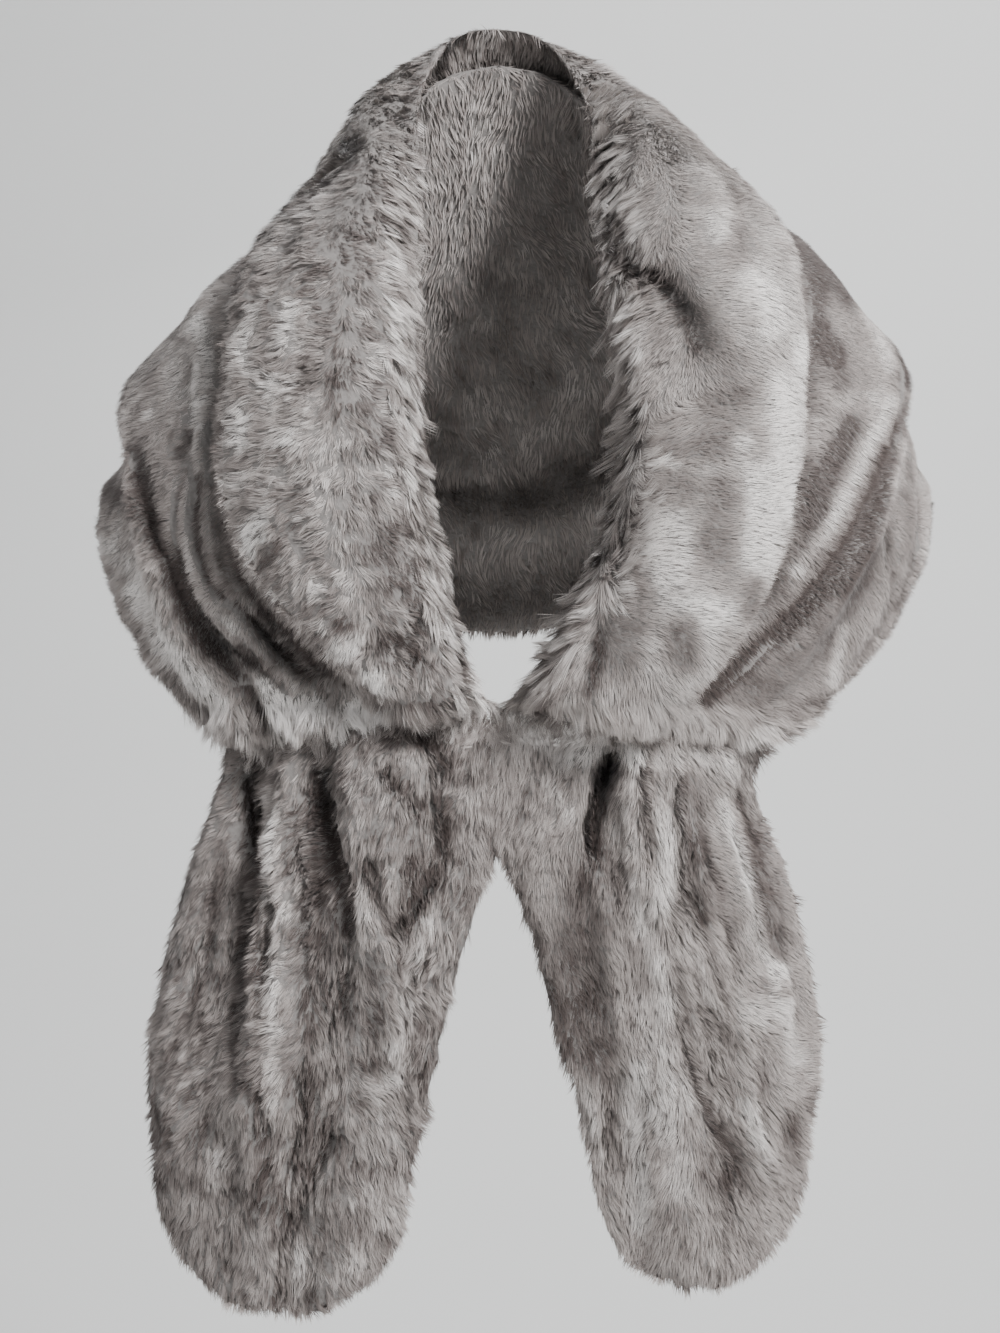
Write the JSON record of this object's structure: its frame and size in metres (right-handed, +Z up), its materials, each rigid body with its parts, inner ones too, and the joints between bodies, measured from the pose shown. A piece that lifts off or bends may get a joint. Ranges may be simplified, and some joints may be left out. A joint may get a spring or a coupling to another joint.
{
  "type": "fur collar wrap",
  "caption": "Deep-pile fur wrap worn round the shoulders, with a wide turned-over shawl collar and fronts gathered below the bust into broad round-ended tails.",
  "frame": {"origin": "base of the wearer's neck, in the middle between the shoulders that carry the wrap", "axes": "+Z up, -Y to the front of the wearer, +X to the wearer's left"},
  "size_m": [0.5507, 0.3576, 0.8212],
  "materials": {
    "cape": "deep soft pile",
    "collar": "deep soft pile",
    "tail_right": "deep soft pile",
    "tail_left": "deep soft pile"
  },
  "bodies": {
    "root": {"cape": "cape", "collar": "collar", "tail_right": "tail_right", "tail_left": "tail_left"}
  },
  "joints": []
}
